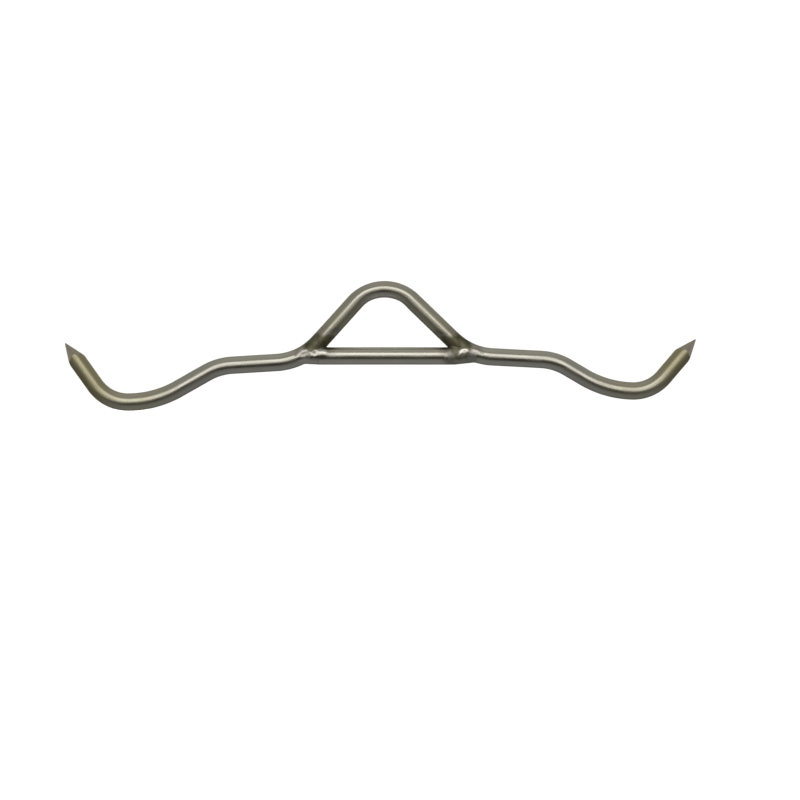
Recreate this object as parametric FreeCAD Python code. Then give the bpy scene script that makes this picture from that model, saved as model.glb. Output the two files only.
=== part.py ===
"""Welded game gambrel: a round bar bent into a hanging loop and two pointed hooks, tied by a cross bar.

The frame is in millimetres. +Z is up as the gambrel hangs, +X runs along the span, and the bars lie in
the XZ plane. The origin is the inside of the loop's crown, where the hook of a hoist bears.
"""

import FreeCAD, Part
import math
import os

from FreeCAD import Vector

# Driving dimensions, in millimetres and degrees.
BAR_DIAMETER = 12.0
BAR_RADIUS = BAR_DIAMETER / 2

CROWN_RADIUS = 28.0
JUNCTION_RADIUS = 42.0
SHOULDER_RADIUS = 40.0
SADDLE_RADIUS = 68.0
HOOK_RADIUS = 27.0

# The bend schedule of each side, from the crown out to the prong: the straight run before the bend, the
# bend's centreline radius and its turn. A minus turns the bar down and a plus turns it up.
LEFT_BENDS = (
    (0.0, CROWN_RADIUS, -48.0),
    (35.5, JUNCTION_RADIUS, 44.5),
    (30.5, SHOULDER_RADIUS, -26.0),
    (22.5, SADDLE_RADIUS, 30.5),
    (0.0, HOOK_RADIUS, 53.5),
)
RIGHT_BENDS = (
    (0.0, CROWN_RADIUS, -44.0),
    (37.5, JUNCTION_RADIUS, 41.0),
    (33.0, SHOULDER_RADIUS, -27.5),
    (13.0, SADDLE_RADIUS, 29.0),
    (0.0, HOOK_RADIUS, 51.0),
)
LEFT_PRONG = 36.0  # from the hook bend to the sharp end of the point
RIGHT_PRONG = 34.5

# Each point is ground to eight flats. Their slopes to the bar's axis start with the flat that faces up
# along the span and go round the bar by 45 degrees.
FLAT_SLOPES = (21.5, 25.0, 28.0, 25.0, 21.5, 25.0, 28.0, 25.0)
POINT_BLUNTING = 0.8  # how much of the sharp end is missing
POINT_CLEARANCE = 4.0  # how far the grinding shape starts behind the longest flat

CROSS_BAR_Z = -39.0
CROSS_BAR_LEFT_X = -45.0
CROSS_BAR_RIGHT_X = 48.0

# A weld builds the sawn end of the cross bar out to the bend, as a taper, and has a row of round puddles
# on the front and on the back.
WELD_CROWN = 1.4  # how far a puddle stands proud of the bars
LEFT_WELD = {"taper_end_x": -57.0, "taper_end_radius": 5.4, "puddle_x": (-44.0, -48.8, -53.6),
             "puddle_z": -38.0, "puddle_radius": 5.0}
RIGHT_WELD = {"taper_end_x": 63.0, "taper_end_radius": 4.4, "puddle_x": (46.6, 53.4, 60.2),
              "puddle_z": -37.4, "puddle_radius": 5.4}

Y_AXIS = Vector(0, 1, 0)


def side_edges(bends, prong, side):
    """The centreline from the crown to the sharp end, as edges, with its last point and direction."""
    place = Vector(0, 0, BAR_RADIUS)
    heading = 0.0
    edges = []
    for run, radius, turn in bends:
        ahead = direction(heading, side)
        if run > 0:
            edges.append(Part.makeLine(place, place + ahead * run))
            place = place + ahead * run
        to_centre = direction(heading + math.copysign(90, turn), side)
        centre = place + to_centre * radius
        middle = centre - direction(heading + turn / 2 + math.copysign(90, turn), side) * radius
        end = centre - direction(heading + turn + math.copysign(90, turn), side) * radius
        edges.append(Part.Arc(place, middle, end).toShape())
        place = end
        heading += turn
    ahead = direction(heading, side)
    tip = place + ahead * prong
    edges.append(Part.makeLine(place, tip))
    return edges, tip, ahead


def direction(heading, side):
    """The unit vector at that many degrees above the horizontal, where side is 1 to the right or -1."""
    angle = math.radians(heading)
    return Vector(side * math.cos(angle), 0, math.sin(angle))


def swept_round(edges):
    """A round bar that follows the edges."""
    wire = Part.Wire(edges)
    start = edges[0].valueAt(edges[0].FirstParameter)
    ahead = edges[0].tangentAt(edges[0].FirstParameter)
    section = Part.Wire([Part.makeCircle(BAR_RADIUS, start, ahead)])
    return wire.makePipeShell([section], True, False)


def flats_outline(tip, ahead, distance):
    """The eight-sided outline that the flats cut at that distance behind the sharp end."""
    across = Y_AXIS.cross(ahead)
    if across.z < 0:
        across = across * -1
    count = len(FLAT_SLOPES)
    corners = []
    for i in range(count):
        near, far = FLAT_SLOPES[i], FLAT_SLOPES[(i + 1) % count]
        here, there = (distance * math.tan(math.radians(slope)) for slope in (near, far))
        step = 2 * math.pi / count
        angle = i * step
        # The corner lies on both flats: u is out along this flat's normal, v is along the flat.
        v = (there - here * math.cos(step)) / math.sin(step)
        u_axis = across * math.cos(angle) + Y_AXIS * math.sin(angle)
        v_axis = across * -math.sin(angle) + Y_AXIS * math.cos(angle)
        corners.append(tip - ahead * distance + u_axis * here + v_axis * v)
    return corners


def grinding_shape(tip, ahead):
    """The solid between the flats, from the blunted end to behind the longest flat."""
    length = BAR_RADIUS / math.tan(math.radians(min(FLAT_SLOPES))) + POINT_CLEARANCE
    small = flats_outline(tip, ahead, POINT_BLUNTING)
    large = flats_outline(tip, ahead, length)
    faces = [polygon_face(small), polygon_face(large)]
    for i in range(len(small)):
        j = (i + 1) % len(small)
        faces.append(polygon_face([small[i], small[j], large[j], large[i]]))
    solid = Part.makeSolid(Part.makeShell(faces))
    if solid.Volume < 0:
        solid.reverse()
    return solid, length


def polygon_face(corners):
    return Part.Face(Part.makePolygon(corners + corners[:1]))


def grind_point(bar, tip, ahead):
    """The bar with its end ground down to the flats."""
    shape, length = grinding_shape(tip, ahead)
    end_piece = Part.makeCylinder(BAR_DIAMETER, length, tip - ahead * length, ahead)
    return bar.cut(end_piece.cut(shape))


def bent_bar():
    left, left_tip, left_ahead = side_edges(LEFT_BENDS, LEFT_PRONG, -1)
    right, right_tip, right_ahead = side_edges(RIGHT_BENDS, RIGHT_PRONG, 1)
    bar = swept_round(right).fuse(swept_round(left))
    bar = grind_point(bar, left_tip, left_ahead)
    bar = grind_point(bar, right_tip, right_ahead)
    return bar.removeSplitter()


def cross_bar(bent):
    start = Vector(CROSS_BAR_LEFT_X, 0, CROSS_BAR_Z)
    length = CROSS_BAR_RIGHT_X - CROSS_BAR_LEFT_X
    return Part.makeCylinder(BAR_RADIUS, length, start, Vector(1, 0, 0)).cut(bent)


def weld_bead(weld, bar_end_x, bars, face):
    """Half of the weld at one end of the cross bar: the front half where face is -1, the back half at 1."""
    reach = weld["taper_end_x"] - bar_end_x
    side = math.copysign(1, reach)
    bead = Part.makeCone(BAR_RADIUS, weld["taper_end_radius"], abs(reach),
                         Vector(bar_end_x, 0, CROSS_BAR_Z), Vector(side, 0, 0))
    puddle_y = face * (BAR_RADIUS + WELD_CROWN - weld["puddle_radius"])
    for x in weld["puddle_x"]:
        bead = bead.fuse(Part.makeSphere(weld["puddle_radius"], Vector(x, puddle_y, weld["puddle_z"])))
    for bar in bars:
        bead = bead.cut(bar)
    room = 4 * BAR_DIAMETER
    corner = Vector(bar_end_x - room / 2, 0 if face > 0 else -room, CROSS_BAR_Z - room / 2)
    bead = bead.common(Part.makeBox(room, room, room, corner))
    return max(bead.Solids, key=lambda solid: solid.Volume)


def build():
    bent = bent_bar()
    cross = cross_bar(bent)
    bars = (bent, cross)
    return {
        "bent_bar": bent,
        "cross_bar": cross,
        "left_front_weld": weld_bead(LEFT_WELD, CROSS_BAR_LEFT_X, bars, -1),
        "left_back_weld": weld_bead(LEFT_WELD, CROSS_BAR_LEFT_X, bars, 1),
        "right_front_weld": weld_bead(RIGHT_WELD, CROSS_BAR_RIGHT_X, bars, -1),
        "right_back_weld": weld_bead(RIGHT_WELD, CROSS_BAR_RIGHT_X, bars, 1),
    }


os.makedirs("parts", exist_ok=True)
for node, shape in build().items():
    print(node, "valid", shape.isValid(), "solids", len(shape.Solids), "volume_mm3", round(shape.Volume, 1))
    shape.exportStep(f"parts/{node}.step")
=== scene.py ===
"""The looks of a welded game gambrel: bright round bars, rippled welds with heat tint, and ground points.

Lengths are in metres in the CAD model's frame: +X along the span, +Z up, and the front is -Y. The bars lie
in the XZ plane. A side's own coordinates are x outwards from the loop's crown and z up, on the left and
right alike. The bars and welds are built finer than the CAD meshes, on the same centrelines and radii.
"""

import math
from collections import namedtuple
from functools import partial

import bpy
import numpy as np
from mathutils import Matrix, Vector


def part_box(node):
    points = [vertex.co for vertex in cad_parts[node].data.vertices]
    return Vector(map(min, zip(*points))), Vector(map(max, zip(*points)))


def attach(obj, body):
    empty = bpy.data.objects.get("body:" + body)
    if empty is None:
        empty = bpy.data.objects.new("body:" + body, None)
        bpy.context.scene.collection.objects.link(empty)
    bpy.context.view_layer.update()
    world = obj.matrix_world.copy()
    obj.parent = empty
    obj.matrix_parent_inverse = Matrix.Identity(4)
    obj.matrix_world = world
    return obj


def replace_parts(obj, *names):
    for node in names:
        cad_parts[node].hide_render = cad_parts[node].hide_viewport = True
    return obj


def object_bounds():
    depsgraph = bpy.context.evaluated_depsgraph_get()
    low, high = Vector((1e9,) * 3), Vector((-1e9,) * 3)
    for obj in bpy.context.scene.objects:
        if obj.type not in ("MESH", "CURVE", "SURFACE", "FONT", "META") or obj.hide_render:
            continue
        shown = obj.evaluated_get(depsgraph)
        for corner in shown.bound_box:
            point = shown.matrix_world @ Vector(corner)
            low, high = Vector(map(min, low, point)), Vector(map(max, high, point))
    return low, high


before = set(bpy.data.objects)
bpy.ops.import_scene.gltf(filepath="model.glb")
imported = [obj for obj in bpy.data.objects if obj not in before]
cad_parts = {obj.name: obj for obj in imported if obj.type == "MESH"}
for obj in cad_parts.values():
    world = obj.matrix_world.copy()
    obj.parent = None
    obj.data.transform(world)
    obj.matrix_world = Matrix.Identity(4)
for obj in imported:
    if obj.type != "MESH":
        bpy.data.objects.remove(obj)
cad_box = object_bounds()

MM = 0.001
DEGREE = math.pi / 180
FRONT, BACK = -1, 1
LEFT, RIGHT = -1, 1

# The design, as in the CAD model. The bar's radius and the cross bar's place come from the frame itself.
BAR_RADIUS = (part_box("bent_bar")[1].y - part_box("bent_bar")[0].y) / 2
CROWN_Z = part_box("bent_bar")[1].z - BAR_RADIUS
CROSS_BAR_Z = (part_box("cross_bar")[0].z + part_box("cross_bar")[1].z) / 2

# Each side's bends from the crown out to the prong: the straight run before the bend in millimetres, the
# bend's centreline radius in millimetres and its turn in degrees. A minus turns the bar down.
BENDS = {
    LEFT: ((0, 28, -48), (35.5, 42, 44.5), (30.5, 40, -26), (22.5, 68, 30.5), (0, 27, 53.5)),
    RIGHT: ((0, 28, -44), (37.5, 42, 41), (33, 40, -27.5), (13, 68, 29), (0, 27, 51)),
}
PRONG_LENGTH = {LEFT: 36 * MM, RIGHT: 34.5 * MM}
FLAT_SLOPES = (21.5, 25, 28, 25, 21.5, 25, 28, 25)
POINT_BLUNTING = 0.8 * MM

# How a bar's skin differs from a true round. It all goes inwards, so no bar outgrows the CAD model.
WAVINESS = 0.03 * MM
CALM_NEAR_WELD = (20 * MM, 34 * MM)  # distances from a weld's heat where the waves start and are full
CROWN_FLATTENING = 0.6 * MM
CROWN_FLATTENED = (24 * MM, 12 * MM)  # distances from the crown where the flattening starts and is full

# The flats of a point meet in slightly rounded edges, and its blunted end is a small nose.
FLAT_EDGE_SHARPNESS = 40
LEAST_FACING = 0.05  # for the flats that face away
LEAST_BEHIND = 0.01 * MM
NOSE_LENGTH = 0.5 * MM
GROUND_DEPTH = (0.06 * MM, 0.2 * MM)  # how much is ground off where the ground look starts and is full

# Each weld's puddles, from the crotch outwards, in its side's coordinates: millimetres and degrees of tilt.
# Proud is how far the puddle stands out from the bars, crater how deep its middle has sunk, and dull runs
# from 0, shiny, to 1, grey.
Puddle = namedtuple("Puddle", "x z half_length half_height tilt proud crater dull")
PUDDLES = {
    LEFT: (
        Puddle(42.4, -37.5, 6.0, 3.6, 4, 0.20, 0.00, 0.1),
        Puddle(47.3, -37.5, 4.6, 3.9, 0, 0.34, 0.45, 0.2),
        Puddle(50.8, -38.3, 4.6, 3.7, -10, 0.20, 0.00, 0.4),
        Puddle(54.5, -37.9, 7.4, 4.2, -22, 0.46, 0.38, 0.3),
    ),
    RIGHT: (
        Puddle(46.2, -38.1, 7.0, 5.0, 30, 0.45, 0.00, 0.8),
        Puddle(53.1, -36.9, 7.6, 4.0, 25, 0.60, 0.00, 0.0),
        Puddle(60.8, -37.2, 7.4, 4.2, -10, 0.32, 0.12, 0.3),
    ),
}
DULL_BETWEEN = {LEFT: 0.2, RIGHT: 0.9}  # the same for the metal between the puddles
DULLNESS_FADE = (0.85, 0.45)  # shares of a puddle's half sizes
CRATER_SHARE = 0.36  # a crater's size beside its puddle's
PUDDLE_DEPTH = 2.6 * MM  # from a puddle's face to its middle
PUDDLE_BLEND = 0.5 * MM

# A puddle's ripples are rings about a point towards its inner end. The lumps are heights and sizes.
RIPPLE_PITCH = 1.0 * MM
RIPPLE_HEIGHT = 0.006 * MM
RIPPLE_CENTRE = 0.8
RIPPLE_SQUASH = 0.8
LUMPS = ((0.018 * MM, 1.6 * MM), (0.006 * MM, 0.7 * MM))
LUMP_CELLS = 16

# The sawn end of the cross bar is built out to the bend by a taper.
TAPER_START = {LEFT: 45 * MM, RIGHT: 48 * MM}
TAPER_END = {LEFT: 57 * MM, RIGHT: 63 * MM}
TAPER_END_RADIUS = {LEFT: 5.4 * MM, RIGHT: 4.4 * MM}
TAPER_BLEND = 0.7 * MM

# Where a weld's surface runs out, it sinks under the bars' skin, and its edge stays hidden there.
TOE_BLEND = 1.2 * MM
TOE_SINK = 0.05 * MM
TOE_EDGE_DEPTH = 0.042 * MM
WELD_SKIN = 0.4 * MM
FAR_OUTSIDE = 10 * MM

# The grid that a weld's mesh is drawn on, and its room beyond the CAD weld.
WELD_PITCH = 0.2 * MM
WELD_ROOM = 5 * MM
WELD_ROOM_INWARDS = 4 * MM
BEAD_EDGE = 0.35 * MM  # how far the bead stands out where it shows its own metal in full
FULL_CREASE = 0.012 * MM

# How a mesh's points settle on the surface. The probe and the reach are shares of the grid's pitch.
SETTLE_ROUNDS = 3
SETTLE_PROBE = 0.05
SETTLE_REACH = 0.5
LEAST_SLOPE = 0.2

# The middle of each weld's heat in its side's coordinates, and how fast the heat fades downwards beside
# how fast it fades upwards. On the right it fades slowly, and its dark scale under the shiny puddle is
# partly painted shade.
HEAT_CENTRE = {LEFT: (46.7 * MM, -31.8 * MM), RIGHT: (51.3 * MM, -32.0 * MM)}
HEAT_AND_SHADE_BELOW = {LEFT: 1.45, RIGHT: 0.85}

# The underside of a leg looks into the crotch, where the heat stayed: it is hotter by this distance. The
# underside's bounds are cosines of the angle round the bar, and the leg's are distances from the crown.
CROTCH_HEAT = 6 * MM
LEG_UNDERSIDE = (0.2, -0.7)
LEG_END = (75 * MM, 60 * MM)

RING_SIDES = 96
RING_PITCH = 1.0 * MM
POINT_RING_PITCH = 0.25 * MM
POINT_LENGTH = 19 * MM
NOSE_RINGS = 6
CROSS_BAR_RINGS = 90
CROSS_BAR_END_RINGS = 12
COPE_HALVINGS = 30
CROSS_BAR_MARKS = 0.3  # the shift along the bar that gives the cross bar marks of its own

# The camera looks straight at the front. What it sees is this wide at the object, about this middle.
VIEW_WIDTH = 544 * MM
VIEW_MIDDLE = Vector((10.6 * MM, 0, -69 * MM))
LENS_MM, SENSOR_MM = 100, 36
# Painted shade: the bent bar's steel is drawn darker than the cross bar's, for a bar that is less lit.
BENT_BAR_PAINTED_SHADE = 0.90  # how bright its steel is beside the cross bar's
FLOOR_DROP = 0.25
FLOOR_RADIUS = 60

# Each light's azimuths and elevations in degrees, and its radiance. Azimuth 0 is in front of the gambrel,
# and 90 on its right.
SOFTBOXES = {
    "key": ((-20, 20), (13, 39), 1.02),
    "left_window": ((-23, -5.5), (-5, 13), 0.80),
    "right_window": ((5.5, 23), (-5, 13), 0.80),
    "back_key": ((150, 210), (4, 22), 0.9),
}
SOFTBOX_DISTANCE = 4.0
SOFTBOX_COLOUR = (1.0, 0.985, 0.93)

# The room by height, from straight down at 0 through level at 0.5 to straight up at 1.
ROOM = (
    (0.0, (0.24, 0.24, 0.235)),
    (0.067, (0.21, 0.21, 0.205)),
    (0.19, (0.15, 0.148, 0.132)),
    (0.25, (0.11, 0.106, 0.082)),
    (0.31, (0.15, 0.144, 0.115)),
    (0.38, (0.27, 0.265, 0.245)),
    (0.45, (0.42, 0.41, 0.385)),
    (0.53, (0.46, 0.45, 0.42)),
    (0.72, (0.34, 0.33, 0.30)),
    (0.88, (0.31, 0.30, 0.27)),
    (1.0, (0.42, 0.405, 0.365)),
)


# ------------------------------------------------------------------------------------------ centrelines


class Stretch:
    """One straight or evenly bent stretch of a centreline, in a side's coordinates."""

    def __init__(self, x, z, heading, length, turn=0.0):
        self.x, self.z, self.heading, self.length = x, z, heading, length
        self.curvature = turn / length

    def at(self, along):
        """x, z and heading at a distance along the stretch."""
        heading = self.heading + self.curvature * along
        if self.curvature == 0:
            x = self.x + along * math.cos(self.heading)
            z = self.z + along * math.sin(self.heading)
        else:
            x = self.x + (np.sin(heading) - math.sin(self.heading)) / self.curvature
            z = self.z - (np.cos(heading) - math.cos(self.heading)) / self.curvature
        return x, z, heading

    def distance(self, x, z):
        """How far points are from the stretch."""
        if self.curvature == 0:
            along = (x - self.x) * math.cos(self.heading) + (z - self.z) * math.sin(self.heading)
        else:
            centre_x = self.x - math.sin(self.heading) / self.curvature
            centre_z = self.z + math.cos(self.heading) / self.curvature
            way = math.copysign(1, self.curvature)
            heading = np.arctan2(way * (x - centre_x), way * (centre_z - z))
            turned = (heading - self.heading + math.pi) % (2 * math.pi) - math.pi
            along = turned / self.curvature
        near_x, near_z, _ = self.at(np.clip(along, 0, self.length))
        return np.hypot(x - near_x, z - near_z)


def side_stretches(side):
    """A side's centreline, from the crown to where the flats of the point would meet."""
    x, z, heading = 0.0, CROWN_Z, 0.0
    stretches = []

    def add(length, turn):
        nonlocal x, z, heading
        stretches.append(Stretch(x, z, heading, length, turn))
        x, z, heading = stretches[-1].at(length)

    for run, radius, turn in BENDS[side]:
        if run:
            add(run * MM, 0.0)
        add(radius * MM * abs(turn) * DEGREE, turn * DEGREE)
    add(PRONG_LENGTH[side], 0.0)
    return stretches


STRETCHES = {side: side_stretches(side) for side in (LEFT, RIGHT)}
SIDE_LENGTH = {side: sum(s.length for s in STRETCHES[side]) for side in (LEFT, RIGHT)}


def side_at(side, along):
    """x, z and heading at distances from the crown."""
    x, z, heading = (np.zeros_like(along) for _ in range(3))
    start = 0.0
    for stretch in STRETCHES[side]:
        here = (along >= start) & (along <= start + stretch.length)
        x[here], z[here], heading[here] = stretch.at(along[here] - start)
        start += stretch.length
    return x, z, heading


def smooth_step(value, low, high):
    """0 at low, 1 at high and smooth between. High may be under low."""
    share = np.clip((value - low) / (high - low), 0, 1)
    return share * share * (3 - 2 * share)


def weld_distance(side, x, z):
    """How far points, in a side's coordinates, are from the middle of its weld's heat."""
    rise = z - HEAT_CENTRE[side][1]
    return np.hypot(x - HEAT_CENTRE[side][0], np.where(rise > 0, rise, HEAT_AND_SHADE_BELOW[side] * rise))


# ------------------------------------------------------------------------------------------------ bars


def mesh_piece(name, points, faces, material, **attributes):
    """A smooth-shaded mesh object with its vertices in the row frame."""
    mesh = bpy.data.meshes.new(name)
    mesh.from_pydata(points.tolist(), [], faces)
    mesh.polygons.foreach_set("use_smooth", [True] * len(mesh.polygons))
    for attribute, values in attributes.items():
        vector = values.ndim == 2
        made = mesh.attributes.new(attribute, "FLOAT_VECTOR" if vector else "FLOAT", "POINT")
        made.data.foreach_set("vector" if vector else "value", values.astype(np.float32).ravel())
    mesh.materials.append(material)
    mesh.validate()
    piece = bpy.data.objects.new(name, mesh)
    bpy.context.scene.collection.objects.link(piece)
    return piece


def flats_radius(behind_apex, angle):
    """The radius that its flats leave a point, at distances behind their apex and angles round it."""
    total = BAR_RADIUS ** -FLAT_EDGE_SHARPNESS
    for i, slope in enumerate(FLAT_SLOPES):
        facing = np.maximum(np.cos(angle - i * 2 * math.pi / len(FLAT_SLOPES)), LEAST_FACING)
        flat = np.maximum(behind_apex, LEAST_BEHIND) * math.tan(slope * DEGREE) / facing
        total = total + flat ** -FLAT_EDGE_SHARPNESS
    return total ** (-1 / FLAT_EDGE_SHARPNESS)


def bar_waves(along, angle):
    """0 to 1: the slow, shallow unevenness that drawing and bending leave on a bar."""
    waves = (
        np.sin(along / (7.3 * MM) + 1.3 * np.sin(angle))
        + np.sin(along / (11.9 * MM) - 2 * angle + 0.7)
        + np.sin(along / (4.1 * MM) + 3 * angle + 2.1)
        + np.sin(along / (23 * MM) + angle + 4.4)
    )
    return 0.5 + waves / 8


def skin_radius(heat_distance, along, angle):
    """The bar's radius away from the points."""
    wavy = smooth_step(heat_distance, *CALM_NEAR_WELD)
    return BAR_RADIUS - wavy * WAVINESS * bar_waves(along, angle)


def ring_stations(side):
    """A side's rings as distances from the crown: even on the bar, close on the point and its nose."""
    apex = SIDE_LENGTH[side]
    point_start = apex - POINT_LENGTH
    nose_start = apex - POINT_BLUNTING - NOSE_LENGTH
    bar = np.linspace(0, point_start, round(point_start / RING_PITCH) + 1)
    point = np.linspace(point_start, nose_start, round((nose_start - point_start) / POINT_RING_PITCH) + 1)
    nose = nose_start + NOSE_LENGTH * np.sin(np.linspace(0, 90, NOSE_RINGS + 1)[1:-1] * DEGREE)
    return np.concatenate([bar, point[1:], nose])


def bent_bar_piece(material):
    """The bent bar as rings round its centreline, from left to right, with a nose at each end."""
    angle = np.arange(RING_SIDES) * 2 * math.pi / RING_SIDES
    rings, straightened, ground, heat, tone = [], [], [], [], []
    for side in (LEFT, RIGHT):
        along = ring_stations(side)
        if side == LEFT:
            along = along[:0:-1]
        x, z, heading = side_at(side, along)
        behind = (SIDE_LENGTH[side] - along)[:, None]
        heat_distance = weld_distance(side, x, z)
        skin = skin_radius(heat_distance[:, None], side * along[:, None], angle)
        flats = flats_radius(behind, angle)
        to_nose = np.clip((behind - POINT_BLUNTING) / NOSE_LENGTH, 0, 1)
        radius = np.minimum(skin, flats) * np.sqrt(1 - (1 - to_nose) ** 2)
        # Out from the centreline: up in the plane where the angle is 0, and to the front at a quarter turn.
        up_x, up_z = -np.sin(heading), np.cos(heading)
        # Bending has flattened the inside of the crown.
        flattening = CROWN_FLATTENING / 2 * smooth_step(along, *CROWN_FLATTENED)[:, None]
        out = radius * np.cos(angle) * (1 - flattening / BAR_RADIUS) + flattening
        points = np.stack([
            side * (x[:, None] + out * up_x[:, None]),
            -radius * np.sin(angle),
            z[:, None] + out * up_z[:, None],
        ], axis=-1)
        rings.append(points)
        straightened.append(np.stack(np.broadcast_arrays(
            side * along[:, None], BAR_RADIUS * np.cos(angle), BAR_RADIUS * np.sin(angle)), axis=-1))
        ground.append(smooth_step(BAR_RADIUS - flats, *GROUND_DEPTH))
        crotch = smooth_step(np.cos(angle), *LEG_UNDERSIDE) * smooth_step(along, *LEG_END)[:, None]
        heat.append(weld_distance(side, side * points[..., 0], points[..., 2]) - CROTCH_HEAT * crotch)
        tone.append(np.broadcast_to(olive_and_painted_shade_tone(along)[:, None], radius.shape))
    noses = [
        row_frame(side, *STRETCHES[side][-1].at(STRETCHES[side][-1].length - POINT_BLUNTING)[:2])
        for side in (LEFT, RIGHT)
    ]
    rings = np.concatenate(rings)
    attributes = {
        "straightened": with_ends(np.concatenate(straightened)),
        "ground": with_ends(np.concatenate(ground)),
        "heat_distance": with_ends(np.concatenate(heat)),
        "olive_and_painted_shade": with_ends(np.concatenate(tone)),
    }
    points = np.vstack([rings.reshape(-1, 3), noses])
    return mesh_piece("bent_bar_drawn", points, tube_faces(len(rings)), material, **attributes)


def olive_and_painted_shade_tone(along):
    """0 to 1: how yellow-green and dark the steel is drawn, most on the prongs and least on the arms. It is
    partly aged tint, and partly painted shade and a painted warm reflection.
    """
    legs = 0.15 + 0.15 * smooth_step(along, 15 * MM, 35 * MM) - 0.3 * smooth_step(along, 60 * MM, 75 * MM)
    hooks = 0.45 * smooth_step(along, 155 * MM, 185 * MM) + 0.55 * smooth_step(along, 200 * MM, 225 * MM)
    return legs + hooks


def row_frame(side, x, z):
    """A point in a side's coordinates as a point of the row frame."""
    return [side * x, 0.0, z]


def with_ends(ring_values):
    """A tube's values as a row for each vertex. Each end's middle vertex takes its last ring's mean."""
    flat = ring_values.reshape(-1, *ring_values.shape[2:])
    ends = [ring_values[0].mean(0), ring_values[-1].mean(0)]
    return np.concatenate([flat, np.array(ends)])


def tube_faces(ring_count):
    """A tube's faces, with a fan of triangles at each end to the two vertices that follow the rings."""
    sides = np.arange(RING_SIDES)
    after = (sides + 1) % RING_SIDES
    start = (np.arange(ring_count - 1) * RING_SIDES)[:, None]
    ahead = start + RING_SIDES
    quads = np.stack([start + sides, start + after, ahead + after, ahead + sides], -1)
    last = (ring_count - 1) * RING_SIDES
    left_middle = ring_count * RING_SIDES
    fans = [[left_middle, b, a] for a, b in zip(sides.tolist(), after.tolist())]
    fans += [[left_middle + 1, last + a, last + b] for a, b in zip(sides.tolist(), after.tolist())]
    return quads.reshape(-1, 4).tolist() + fans


def bent_distance(side, x, z):
    """How far points, in a side's coordinates, are from the bent bar's centreline."""
    return np.minimum.reduce([stretch.distance(x, z) for stretch in STRETCHES[side]])


def coped_reach(side, y, z):
    """How far out the cross bar runs at points of its section: to the bent bar or to its sawn end."""
    inside, outside = np.zeros_like(y), np.full_like(y, TAPER_START[side])
    for _ in range(COPE_HALVINGS):
        middle = (inside + outside) / 2
        clear = np.hypot(bent_distance(side, middle, z), y) > BAR_RADIUS
        inside, outside = np.where(clear, middle, inside), np.where(clear, outside, middle)
    return inside


def cross_bar_piece(material):
    """The cross bar as rings from left to right, each end shaped to the bend that it meets."""
    angle = np.arange(RING_SIDES) * 2 * math.pi / RING_SIDES
    shares = np.linspace(0, 1, CROSS_BAR_END_RINGS + 1)[1:]
    reach = {}
    for side in (LEFT, RIGHT):
        y = -np.outer(shares, np.sin(angle)) * BAR_RADIUS
        z = CROSS_BAR_Z + np.outer(shares, np.cos(angle)) * BAR_RADIUS
        reach[side] = coped_reach(side, y, z)
    run = np.linspace(0, 1, CROSS_BAR_RINGS + 1)[1:-1, None]
    body = -reach[LEFT][-1] + run * (reach[RIGHT][-1] + reach[LEFT][-1])
    x = np.concatenate([-reach[LEFT], body, reach[RIGHT][::-1]])
    share = np.concatenate([shares, np.ones(len(run)), shares[::-1]])[:, None]
    waves = np.where(share == 1, bar_waves(x + CROSS_BAR_MARKS, angle), 0)
    nearest = np.minimum(weld_distance(LEFT, -x, CROSS_BAR_Z), weld_distance(RIGHT, x, CROSS_BAR_Z))
    radius = share * BAR_RADIUS - smooth_step(nearest, *CALM_NEAR_WELD) * WAVINESS * waves
    rings = np.stack([x, -radius * np.sin(angle), CROSS_BAR_Z + radius * np.cos(angle)], axis=-1)
    middles = [
        [side * float(coped_reach(side, np.zeros(1), np.full(1, CROSS_BAR_Z))[0]), 0.0, CROSS_BAR_Z]
        for side in (LEFT, RIGHT)
    ]
    straightened = np.stack(np.broadcast_arrays(
        x + CROSS_BAR_MARKS, BAR_RADIUS * np.cos(angle), BAR_RADIUS * np.sin(angle)), axis=-1)
    height = rings[..., 2]
    heat_distance = np.minimum(weld_distance(LEFT, -x, height), weld_distance(RIGHT, x, height))
    attributes = {
        "straightened": with_ends(straightened),
        "heat_distance": with_ends(heat_distance),
    }
    points = np.vstack([rings.reshape(-1, 3), middles])
    return mesh_piece("cross_bar_drawn", points, tube_faces(len(rings)), material, **attributes)


# ----------------------------------------------------------------------------------------------- welds


def smooth_union(a, b, blend):
    """The union of two distance fields with a fillet that starts where they differ by less than blend."""
    overlap = np.maximum(blend - np.abs(a - b), 0) / blend
    return np.minimum(a, b) - overlap * overlap * blend / 4


def lumps(x, y, z, size, seed):
    """-1 to 1: smooth random lumps of about that size."""
    lattice = np.random.default_rng(seed).uniform(-1, 1, (LUMP_CELLS,) * 3)
    cells, shares = [], []
    for value in (x, y, z):
        scaled = value / size + 100
        cell = np.floor(scaled).astype(int)
        share = scaled - cell
        cells.append(cell)
        shares.append(share * share * (3 - 2 * share))
    total = 0
    for corner in np.ndindex(2, 2, 2):
        weight = 1
        for share, step in zip(shares, corner):
            weight = weight * (share if step else 1 - share)
        index = tuple((cell + step) % LUMP_CELLS for cell, step in zip(cells, corner))
        total = total + weight * lattice[index]
    return total


def bars_field(side, x, y, z):
    """How far points are outside the two bars, negative inside them. x is outwards."""
    bent = np.hypot(bent_distance(side, x, z), y) - BAR_RADIUS
    cross = np.maximum(np.hypot(y, z - CROSS_BAR_Z) - BAR_RADIUS, x - TAPER_START[side])
    return np.minimum(bent, cross)


def tapered_field(side, x, y, z):
    """How far points are outside the two bars, with the cross bar's end built out to the bend."""
    bent = np.hypot(bent_distance(side, x, z), y) - BAR_RADIUS
    share = np.clip((x - TAPER_START[side]) / (TAPER_END[side] - TAPER_START[side]), 0, 1)
    radius = BAR_RADIUS + share * (TAPER_END_RADIUS[side] - BAR_RADIUS)
    built_out = np.maximum(np.hypot(y, z - CROSS_BAR_Z) - radius, x - TAPER_END[side])
    return smooth_union(bent, built_out, TAPER_BLEND)


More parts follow.
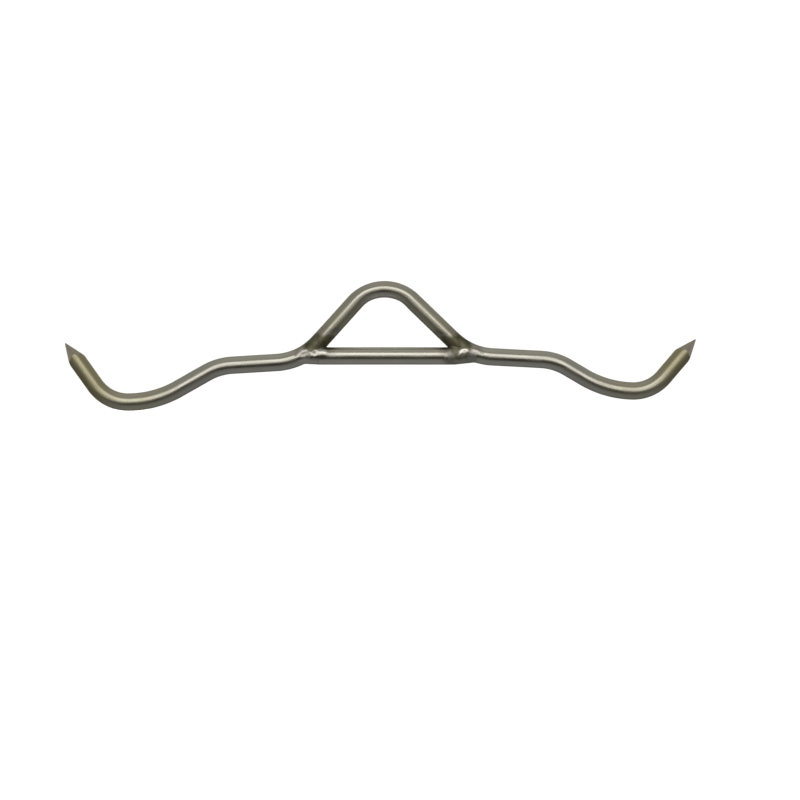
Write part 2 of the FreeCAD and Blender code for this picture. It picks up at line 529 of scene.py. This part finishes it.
def puddle_shares(puddle, x, z):
    """How far points are along and across a puddle from its middle, as shares of its half sizes."""
    turn = puddle.tilt * DEGREE
    off_x, off_z = x - puddle.x * MM, z - puddle.z * MM
    along = off_x * math.cos(turn) + off_z * math.sin(turn)
    across = off_z * math.cos(turn) - off_x * math.sin(turn)
    return along / (puddle.half_length * MM), across / (puddle.half_height * MM)


def puddle_field(face, puddle, x, y, z):
    """How far points are outside one puddle, a rounded cake with rings of ripples."""
    length, height = puddle.half_length * MM, puddle.half_height * MM
    along, across = puddle_shares(puddle, x, z)
    out = (y - face * (BAR_RADIUS + puddle.proud * MM - PUDDLE_DEPTH)) / PUDDLE_DEPTH
    scaled = np.sqrt(along ** 2 + out ** 2 + across ** 2)
    slope = np.sqrt((along / length) ** 2 + (out / PUDDLE_DEPTH) ** 2 + (across / height) ** 2)
    from_centre = np.hypot((along + RIPPLE_CENTRE) * length, RIPPLE_SQUASH * across * height)
    ripples = RIPPLE_HEIGHT * np.cos(2 * math.pi * from_centre / RIPPLE_PITCH)
    return scaled * (scaled - 1) / np.maximum(slope, 1) - ripples


def crater_depth(side, x, z):
    """How far the middles of a weld's puddles have sunk at points."""
    depth = 0
    for puddle in PUDDLES[side]:
        along, across = puddle_shares(puddle, x, z)
        depth = depth + puddle.crater * MM * np.exp(-(along ** 2 + across ** 2) / CRATER_SHARE ** 2)
    return depth


def bead_field(side, face, x, y, z):
    """How far points are outside a weld's puddles."""
    seed = 40 + 20 * side + 10 * face
    bead = FAR_OUTSIDE
    for puddle in PUDDLES[side]:
        bead = smooth_union(bead, puddle_field(face, puddle, x, y, z), PUDDLE_BLEND)
    for i, (height, size) in enumerate(LUMPS):
        bead = bead - height * lumps(x, y, z, size, seed + 5 * i)
    return bead


def weld_surface_field(side, face, x, y, z):
    """How far points are outside the bars and a weld together, with the craters and the sink taken off."""
    surface = smooth_union(tapered_field(side, x, y, z), bead_field(side, face, x, y, z), TOE_BLEND)
    return surface + crater_depth(side, x, z) + TOE_SINK


def weld_field(side, face, x, y, z):
    """How far points are outside one weld: a skin under its surface, up to its hidden edge, on one face."""
    bars = bars_field(side, x, y, z)
    surface = weld_surface_field(side, face, x, y, z)
    return np.maximum.reduce([surface, -WELD_SKIN - bars, surface - bars - TOE_EDGE_DEPTH, face * -y])


def surface_net(field, low, high, pitch):
    """The points and quads of the surface where a field is 0, one point to each cell that it crosses."""
    axes = [np.arange(a, b, pitch) for a, b in zip(low, high)]
    values = field(*np.meshgrid(*axes, indexing="ij"))
    inside = values < 0
    shape = tuple(n - 1 for n in values.shape)
    corners = list(np.ndindex(2, 2, 2))
    blocks = (tuple(slice(c, c + n) for c, n in zip(corner, shape)) for corner in corners)
    filled = sum(inside[block].astype(int) for block in blocks)
    cells = np.argwhere((filled > 0) & (filled < 8))
    number = np.full(shape, -1)
    number[tuple(cells.T)] = np.arange(len(cells))

    total, count = np.zeros((len(cells), 3)), np.zeros(len(cells))
    for corner in corners:
        for axis in range(3):
            if corner[axis]:
                continue
            step = np.eye(3, dtype=int)[axis]
            first = values[tuple((cells + corner).T)]
            second = values[tuple((cells + corner + step).T)]
            crossed = (first < 0) != (second < 0)
            share = np.where(crossed, first / np.where(crossed, first - second, 1), 0)
            total += crossed[:, None] * (cells + corner + share[:, None] * step)
            count += crossed
    points = np.array(low) + pitch * total / count[:, None]

    quads = []
    for axis in range(3):
        step = np.eye(3, dtype=int)[axis]
        one, two = (np.eye(3, dtype=int)[(axis + k) % 3] for k in (1, 2))
        ahead = np.roll(inside, -1, axis)
        edges = np.argwhere(inside != ahead)
        within = (edges[:, axis] < shape[axis]) & (edges @ one > 0) & (edges @ two > 0)
        edges = edges[within]
        around = [edges - one - two, edges - two, edges, edges - one]
        ring = np.stack([number[tuple(cell.T)] for cell in around], axis=-1)
        outward = inside[tuple(edges.T)]
        quads.append(np.where(outward[:, None], ring, ring[:, ::-1]))
    return points, np.concatenate(quads)


def settle_on(field, points, pitch, free=(1, 1, 1)):
    """Moves points on to the surface where a field is 0, along the axes that are free."""
    step = SETTLE_PROBE * pitch
    furthest = SETTLE_REACH * pitch
    for _ in range(SETTLE_ROUNDS):
        value = field(*points.T)
        slope = np.stack([
            share * (field(*(points + step * axis).T) - field(*(points - step * axis).T)) / (2 * step)
            for share, axis in zip(free, np.eye(3))
        ], axis=-1)
        size = np.maximum((slope ** 2).sum(1), LEAST_SLOPE)
        points = points - np.clip(value / size, -furthest, furthest)[:, None] * slope
    return points


def hollowness(points, quads):
    """-1 to 1 for each point: positive in a crease, negative on a ridge."""
    edges = np.concatenate([quads[:, [i, (i + 1) % 4]] for i in range(4)])
    total, count = np.zeros_like(points), np.zeros(len(points))
    np.add.at(total, edges[:, 0], points[edges[:, 1]])
    np.add.at(count, edges[:, 0], 1)
    across = np.cross(points[quads[:, 2]] - points[quads[:, 0]], points[quads[:, 3]] - points[quads[:, 1]])
    normals = np.zeros_like(points)
    for i in range(4):
        np.add.at(normals, quads[:, i], across)
    normals /= np.maximum(np.linalg.norm(normals, axis=1, keepdims=True), 1e-30)
    lift = ((total / count[:, None] - points) * normals).sum(1)
    for _ in range(4):
        spread = np.zeros(len(points))
        np.add.at(spread, edges[:, 0], lift[edges[:, 1]])
        lift = 0.5 * lift + 0.5 * spread / count
    return np.clip(lift / FULL_CREASE, -1, 1)


def puddle_dullness(side, points):
    """0 to 1: how dull the weld metal is at points. An inner puddle's dullness covers an outer one's."""
    dull = np.full(len(points), DULL_BETWEEN[side])
    for puddle in reversed(PUDDLES[side]):
        share = smooth_step(np.hypot(*puddle_shares(puddle, points[:, 0], points[:, 2])), *DULLNESS_FADE)
        dull = dull + share * (puddle.dull - dull)
    return dull


def weld_piece(name, side, face, material):
    """One side's weld, on the front or on the back."""
    field = partial(weld_field, side, face)
    node_low, node_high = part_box(name)
    inner, outer = sorted((side * node_low.x, side * node_high.x))
    low = np.array([inner - WELD_ROOM_INWARDS, node_low.y - WELD_ROOM, node_low.z - WELD_ROOM])
    high = np.array([outer + WELD_ROOM, node_high.y + WELD_ROOM, node_high.z + WELD_ROOM])
    points, quads = surface_net(field, low, high, WELD_PITCH)
    points = settle_on(field, points, WELD_PITCH)
    # The two faces' welds meet in the middle plane, along the edge of both.
    in_middle = np.abs(points[:, 1]) < 0.5 * WELD_PITCH
    points[in_middle, 1] = 0
    surface = weld_surface_field(side, face, *points.T)
    rim = in_middle & (np.abs(surface) < WELD_PITCH)
    points[rim] = settle_on(partial(weld_surface_field, side, face), points[rim], WELD_PITCH, (1, 0, 1))
    height = tapered_field(side, *points.T) - bead_field(side, face, *points.T)
    x, y, z = side * points[:, 0], points[:, 1], points[:, 2]
    attributes = {
        "straightened": np.stack([x + CROSS_BAR_MARKS, z - CROSS_BAR_Z, -y], axis=-1),
        "heat_distance": weld_distance(side, points[:, 0], z),
        "bead": smooth_step(height, 0, BEAD_EDGE),
        "hollow": hollowness(points, quads),
        "dull": puddle_dullness(side, points),
    }
    points = np.stack([x, y, z], axis=-1)
    if side == LEFT:
        quads = quads[:, ::-1]
    piece = mesh_piece(name + "_bead", points, quads.tolist(), material, **attributes)
    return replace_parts(piece, name)


# ------------------------------------------------------------------------------------------- materials


def new_material(name):
    """An empty node material, with its node tree and its Principled shader."""
    material = bpy.data.materials.new(name)
    material.use_nodes = True
    tree = material.node_tree
    tree.nodes.clear()
    output = tree.nodes.new("ShaderNodeOutputMaterial")
    shader = tree.nodes.new("ShaderNodeBsdfPrincipled")
    tree.links.new(shader.outputs["BSDF"], output.inputs["Surface"])
    return material, tree, shader


def node(tree, kind, inputs, output=0, **settings):
    """A new node's output. Inputs are values or other outputs."""
    made = tree.nodes.new(kind)
    for name, value in settings.items():
        setattr(made, name, value)
    for key, value in inputs.items():
        if isinstance(value, bpy.types.NodeSocket):
            tree.links.new(value, made.inputs[key])
        else:
            made.inputs[key].default_value = value
    return made.outputs[output]


def attribute(tree, name, vector=False):
    return node(tree, "ShaderNodeAttribute", {}, "Vector" if vector else "Fac", attribute_name=name)


def noise(tree, coordinates, scale, detail=3.0, roughness=0.5, turn=(0, 0, 0)):
    """0 to 1: a noise whose features have 1 / scale as their size in metres, along each axis."""
    scaled = node(tree, "ShaderNodeMapping", {"Vector": coordinates, "Scale": scale, "Rotation": turn})
    inputs = {"Vector": scaled, "Scale": 1.0, "Detail": detail, "Roughness": roughness}
    return node(tree, "ShaderNodeTexNoise", inputs, "Fac")


def remap(tree, value, low, high, to_low=0.0, to_high=1.0):
    """A value's smooth remap, held between its ends."""
    inputs = {0: value, 1: low, 2: high, 3: to_low, 4: to_high}
    return node(tree, "ShaderNodeMapRange", inputs, interpolation_type="SMOOTHSTEP", clamp=True)


def math_node(tree, operation, *values):
    return node(tree, "ShaderNodeMath", dict(enumerate(values)), operation=operation)


def band(tree, value, rise, fall):
    """1 between two ramps and 0 beyond them. Each ramp is the value where it is 0 and where it is 1."""
    return math_node(tree, "MULTIPLY", remap(tree, value, *rise), remap(tree, value, *fall))


def mix_colour(tree, share, a, b, blend="MIX"):
    inputs = {0: share, 6: a, 7: b}
    return node(tree, "ShaderNodeMix", inputs, 2, data_type="RGBA", blend_type=blend, clamp_factor=True)


def mix_value(tree, share, a, b):
    return node(tree, "ShaderNodeMix", {0: share, 2: a, 3: b}, 0, data_type="FLOAT")


def rgb(red, green, blue):
    return (red, green, blue, 1.0)


def stainless(name, painted_shade=1.0):
    """Bright drawn stainless steel, with drawing lines, smudges, heat tint by the welds and ground points.

    It also has the welds' own metal, which shows where a mesh has a bead. The painted shade darkens the
    drawn bar, as if it were less lit than the cross bar.
    """
    material, tree, shader = new_material(name)
    straight = attribute(tree, "straightened", vector=True)
    smudges = noise(tree, straight, (70, 120, 120), 4.0, 0.6)
    streaks = noise(tree, straight, (18, 1100, 1100), 3.0)
    mottle = noise(tree, straight, (420, 420, 420), 4.0, 0.6)
    scratches = noise(tree, straight, (260, 5200, 5200), 1.0, 0.5, (0.0, 0.35, 0.5))
    scratches = remap(tree, scratches, 0.70, 0.78)
    grinding = noise(tree, straight, (5200, 500, 500), 2.0, 0.6, (0.0, 0.5, 0.3))
    lines = noise(tree, straight, (30, 6000, 6000), 2.0)

    steel = drawn_colour(tree, smudges, streaks, painted_shade)
    rough = remap(tree, smudges, 0.3, 0.75, 0.15, 0.25)
    rough = math_node(tree, "ADD", rough, remap(tree, streaks, 0.35, 0.75, 0.0, 0.05))
    rough = math_node(tree, "ADD", rough, math_node(tree, "MULTIPLY", scratches, 0.10))
    rough = math_node(tree, "ADD", rough, math_node(tree, "MULTIPLY", attribute(tree, "olive_and_painted_shade"), 0.15))
    height = math_node(tree, "SUBTRACT", math_node(tree, "MULTIPLY", lines, 0.5), scratches)

    steel, scale = heat_tinted(tree, steel, straight, mottle)
    rough = mix_value(tree, scale, rough, remap(tree, mottle, 0.3, 0.7, 0.40, 0.55))
    height = mix_value(tree, scale, height, math_node(tree, "MULTIPLY", mottle, 4.0))

    ground = attribute(tree, "ground")
    cut = mix_colour(tree, grinding, rgb(0.43, 0.405, 0.335), rgb(0.56, 0.53, 0.45))
    steel = mix_colour(tree, ground, steel, cut)
    rough = mix_value(tree, ground, rough, remap(tree, grinding, 0.3, 0.7, 0.30, 0.44))
    height = mix_value(tree, ground, height, math_node(tree, "MULTIPLY", grinding, 3.0))

    # The scale has crept over the dull puddles.
    crept = math_node(tree, "MULTIPLY", scale, attribute(tree, "dull"))
    bead = mix_value(tree, crept, attribute(tree, "bead"), 0.0)
    weld_colour, weld_roughness, speckle = weld_metal(tree, straight)
    tree.links.new(mix_colour(tree, bead, steel, weld_colour), shader.inputs["Base Color"])
    tree.links.new(mix_value(tree, bead, rough, weld_roughness), shader.inputs["Roughness"])
    height = mix_value(tree, bead, height, math_node(tree, "MULTIPLY", speckle, 2.5))
    bump = node(tree, "ShaderNodeBump", {"Height": height, "Distance": 0.006 * MM, "Strength": 0.6})
    tree.links.new(bump, shader.inputs["Normal"])
    shader.inputs["Metallic"].default_value = 1.0
    return material


def drawn_colour(tree, smudges, streaks, painted_shade):
    """The colour of the drawn bar, darkened by the painted shade, and olive where its mesh says so: partly
    aged tint, partly painted shade and a painted warm reflection.
    """
    light, dark = (0.73, 0.72, 0.67), (0.63, 0.62, 0.565)
    # Painted shade: both tones of the drawn steel are darkened by it.
    light, dark = (rgb(*(painted_shade * part for part in colour)) for colour in (light, dark))
    steel = mix_colour(tree, smudges, light, dark)
    # The olive is partly aged tint, and partly painted shade and a painted reflection of a warm room.
    steel = mix_colour(tree, attribute(tree, "olive_and_painted_shade"), steel, rgb(0.50, 0.465, 0.315))
    darker = remap(tree, streaks, 0.3, 0.7, 0.0, 0.35)
    return mix_colour(tree, darker, steel, rgb(0.78, 0.76, 0.70), "MULTIPLY")


def heat_tinted(tree, steel, straight, mottle):
    """The steel with its heat tints, from straw through rose to dark scale by the weld, and the scale."""
    # The tints' edges are ragged, so the distance from the weld's heat is shaken by the mottle.
    shaken = math_node(tree, "MULTIPLY_ADD", mottle, 4 * MM, -2 * MM)
    distance = math_node(tree, "ADD", attribute(tree, "heat_distance"), shaken)
    scale = remap(tree, distance, 6 * MM, 11 * MM, 1.0, 0.0)
    rose = band(tree, distance, (8 * MM, 11 * MM), (17 * MM, 12 * MM))
    straw = band(tree, distance, (11 * MM, 16 * MM), (28 * MM, 17 * MM))
    straw = math_node(tree, "MULTIPLY", straw, attribute(tree, "olive_and_painted_shade"))
    steel = mix_colour(tree, straw, steel, rgb(0.47, 0.46, 0.31))
    # The underside of a leg has gone past rose, to purple on the left and to dark brown on the right.
    place = node(tree, "ShaderNodeSeparateXYZ", {"Vector": straight}).node.outputs
    to_right = remap(tree, place["X"], -10 * MM, 10 * MM)
    under = mix_colour(tree, to_right, rgb(0.27, 0.25, 0.295), rgb(0.215, 0.205, 0.165))
    tint = mix_colour(tree, remap(tree, place["Y"], 1 * MM, -3 * MM), rgb(0.41, 0.365, 0.335), under)
    steel = mix_colour(tree, math_node(tree, "MULTIPLY", rose, 0.6), steel, tint)
    burning = remap(tree, noise(tree, straight, (160, 420, 420), 3.0, 0.55), 0.3, 0.7)
    burnt = mix_colour(tree, burning, rgb(0.13, 0.125, 0.075), rgb(0.23, 0.22, 0.155))
    return mix_colour(tree, scale, steel, burnt), scale


def weld_metal(tree, place):
    """Weld metal's colour, roughness and speckle: bright on ridges, dark oxide and painted shade in
    creases.
    """
    hollow = attribute(tree, "hollow")
    dull = attribute(tree, "dull")
    tint = noise(tree, place, (260, 260, 260), 2.0)
    speckle = noise(tree, place, (1500, 1500, 1500), 4.0, 0.65)

    metal = mix_colour(tree, remap(tree, tint, 0.35, 0.65), rgb(0.82, 0.81, 0.76), rgb(0.75, 0.71, 0.67))
    metal = mix_colour(tree, math_node(tree, "MULTIPLY", dull, 0.9), metal, rgb(0.25, 0.248, 0.225))
    metal = mix_colour(tree, remap(tree, speckle, 0.55, 0.8, 0.0, 0.4), metal, rgb(0.34, 0.325, 0.28))
    # Painted shade, with some oxide: the creases and the craters' middles are drawn dark.
    metal = mix_colour(tree, remap(tree, hollow, 0.1, 0.9, 0.0, 0.8), metal, rgb(0.16, 0.15, 0.13))

    rough = remap(tree, speckle, 0.35, 0.7, 0.16, 0.26)
    rough = math_node(tree, "ADD", rough, math_node(tree, "MULTIPLY", dull, 0.30))
    rough = math_node(tree, "ADD", rough, remap(tree, hollow, 0.0, 0.9, 0.0, 0.2))
    return metal, rough, speckle


# ----------------------------------------------------------------------------------------------- stage


def floor_piece():
    """A plain pale floor, round, well below the gambrel, which hangs."""
    height = cad_box[0].z - FLOOR_DROP
    material, tree, shader = new_material("pale_floor")
    place = node(tree, "ShaderNodeTexCoord", {}, "Object")
    grain = noise(tree, place, (6, 6, 6), 3.0)
    colour = mix_colour(tree, grain, rgb(0.93, 0.93, 0.92), rgb(0.96, 0.96, 0.95))
    tree.links.new(colour, shader.inputs["Base Color"])
    shader.inputs["Roughness"].default_value = 0.9
    bpy.ops.mesh.primitive_circle_add(
        vertices=96, radius=FLOOR_RADIUS, fill_type="NGON", location=(0, 0, height))
    floor = bpy.context.object
    floor.name = "floor"
    floor.data.materials.append(material)
    # The metal mirrors the studio round it, not the floor.
    floor.visible_glossy = False


def softbox(name, azimuths, elevations, radiance):
    """A rectangular light that faces the gambrel."""
    spreads = ((high - low) / 2 * DEGREE for low, high in (azimuths, elevations))
    width, height = (2 * SOFTBOX_DISTANCE * math.tan(spread) for spread in spreads)
    light = bpy.data.lights.new(name, "AREA")
    light.shape = "RECTANGLE"
    light.size, light.size_y = width, height
    light.energy = radiance * math.pi * width * height
    light.color = SOFTBOX_COLOUR
    lamp = bpy.data.objects.new(name, light)
    turn, rise = (sum(ends) / 2 * DEGREE for ends in (azimuths, elevations))
    away = Vector((math.sin(turn) * math.cos(rise), -math.cos(turn) * math.cos(rise), math.sin(rise)))
    middle = (cad_box[0] + cad_box[1]) / 2
    lamp.location = middle + away * SOFTBOX_DISTANCE
    lamp.rotation_euler = (-away).to_track_quat("-Z", "Y").to_euler()
    bpy.context.scene.collection.objects.link(lamp)


def floor_light():
    """Even light from above, for the floor alone."""
    light = bpy.data.lights.new("floor_light", "SUN")
    light.energy = 3.6
    light.angle = 60 * DEGREE
    lamp = bpy.data.objects.new("floor_light", light)
    lamp.visible_glossy = False
    bpy.context.scene.collection.objects.link(lamp)


def studio_world():
    """White for the camera, and for the metal a grey room with a dark stand below the camera."""
    world = bpy.data.worlds.new("studio")
    bpy.context.scene.world = world
    world.use_nodes = True
    tree = world.node_tree
    tree.nodes.clear()
    direction = node(tree, "ShaderNodeTexCoord", {}, "Generated")
    split = node(tree, "ShaderNodeSeparateXYZ", {"Vector": direction}).node.outputs
    ramp = tree.nodes.new("ShaderNodeValToRGB")
    elements = ramp.color_ramp.elements
    elements.remove(elements[1])
    elements[0].position, elements[0].color = ROOM[0][0], rgb(*ROOM[0][1])
    for position, colour in ROOM[1:]:
        elements.new(position).color = rgb(*colour)
    tree.links.new(math_node(tree, "MULTIPLY_ADD", split["Z"], 0.5, 0.5), ramp.inputs["Fac"])

    sideways = math_node(tree, "ABSOLUTE", split["X"])
    narrow = remap(tree, sideways, 0.07, 0.22, 1.0, 0.0)
    low = remap(tree, split["Z"], -0.80, -0.60)
    low = math_node(tree, "MULTIPLY", low, remap(tree, split["Z"], -0.12, 0.02, 1.0, 0.0))
    in_front = remap(tree, split["Y"], -0.45, -0.25, 1.0, 0.0)
    stand = math_node(tree, "MULTIPLY", math_node(tree, "MULTIPLY", narrow, low), in_front)
    dimmed = math_node(tree, "MULTIPLY", stand, 0.8)
    room_colour = mix_colour(tree, dimmed, ramp.outputs["Color"], rgb(0.02, 0.018, 0.01))

    room = node(tree, "ShaderNodeBackground", {"Color": room_colour, "Strength": 1.0})
    white = node(tree, "ShaderNodeBackground", {"Color": rgb(1, 1, 1), "Strength": 1.05})
    seen = node(tree, "ShaderNodeLightPath", {}, "Is Camera Ray")
    mixed = node(tree, "ShaderNodeMixShader", {0: seen, 1: room, 2: white})
    output = tree.nodes.new("ShaderNodeOutputWorld")
    tree.links.new(mixed, output.inputs["Surface"])


def camera():
    """The camera, straight in front."""
    data = bpy.data.cameras.new("camera")
    data.lens, data.sensor_width = LENS_MM, SENSOR_MM
    piece = bpy.data.objects.new("camera", data)
    piece.location = VIEW_MIDDLE + Vector((0, -VIEW_WIDTH * LENS_MM / SENSOR_MM, 0))
    piece.rotation_euler = (90 * DEGREE, 0, 0)
    bpy.context.scene.collection.objects.link(piece)
    bpy.context.scene.camera = piece


# --------------------------------------------------------------------------------------------- the scene

# The bent bar's steel and the welds' drawn steel carry the painted shade.
bent_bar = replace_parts(bent_bar_piece(stainless("drawn_stainless_painted_shade", BENT_BAR_PAINTED_SHADE)), "bent_bar")
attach(bent_bar, "root")

cross_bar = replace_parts(cross_bar_piece(stainless("drawn_stainless_cross")), "cross_bar")
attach(cross_bar, "root")

weld_stainless = stainless("welded_stainless_painted_shade", BENT_BAR_PAINTED_SHADE)
for side, side_name in ((LEFT, "left"), (RIGHT, "right")):
    for face, face_name in ((FRONT, "front"), (BACK, "back")):
        bead = weld_piece(f"{side_name}_{face_name}_weld", side, face, weld_stainless)
        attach(bead, "root")

floor_piece()
floor_light()
for light_name, (azimuths, elevations, radiance) in SOFTBOXES.items():
    softbox(light_name, azimuths, elevations, radiance)
studio_world()
camera()
bpy.context.scene.view_settings.view_transform = "Standard"
